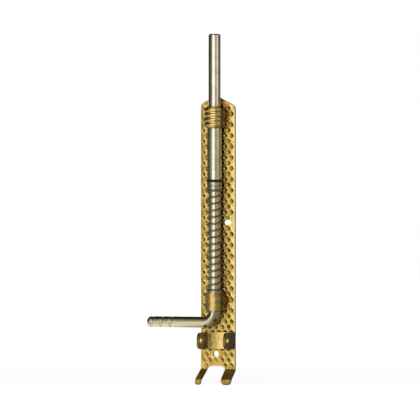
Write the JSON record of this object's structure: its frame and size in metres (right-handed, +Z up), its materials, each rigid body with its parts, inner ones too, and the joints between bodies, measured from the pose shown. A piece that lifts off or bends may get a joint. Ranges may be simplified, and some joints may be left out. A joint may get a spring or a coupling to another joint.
{
  "type": "spring_door_bolt",
  "caption": "Spring-loaded surface door bolt: a round steel rod with a bent side handle slides and turns in two guides on a long dimpled plate with a catch bracket and pronged foot",
  "frame": {"origin": "on the plate's back face, where it meets the door, straight behind the rod's axis, level with the middle of the plate's length", "axes": "+Z up along the rod towards its free tip, +Y into the door, +X to the right as seen from the front, the rod's side handle towards -X"},
  "size_m": [0.1248, 0.036, 0.4711],
  "materials": {
    "yellow_passivated_sheet": "yellow-passivated zinc plate on pressed sheet steel, satin",
    "plated_tube": "pale olive zinc plate on turned steel, satin",
    "plated_spring_wire": "zinc-plated spring wire, satin",
    "plated_steel_bar": "bright zinc-plated drawn steel bar",
    "black_nylon": "black moulded nylon, smooth"
  },
  "bodies": {
    "plate_assembly": {"backplate": "yellow_passivated_sheet", "upper_guide": "yellow_passivated_sheet", "lower_guide": "yellow_passivated_sheet", "guide_tube": "plated_tube", "lower_bush": "plated_tube", "catch_bracket": "yellow_passivated_sheet", "return_spring": "plated_spring_wire"},
    "buffer": {"buffer_ring": "black_nylon"},
    "bolt": {"bolt_rod": "plated_steel_bar", "stop_collar": "plated_tube", "collar_pin": "plated_steel_bar"}
  },
  "joints": [
    {"name": "bolt_slide", "type": "slide", "parent": "plate_assembly", "child": "buffer", "axis": [0, 0, 1], "range_m": [-0.0055, 0], "stiffness_N_per_m": 1536, "springref_m": 0.02, "deforming": ["return_spring"]},
    {"name": "handle_turn", "type": "hinge", "parent": "buffer", "child": "bolt", "pos_m": [0, -0.0141, 0], "axis": [0, 0, 1], "range_deg": [0, 180]}
  ]
}
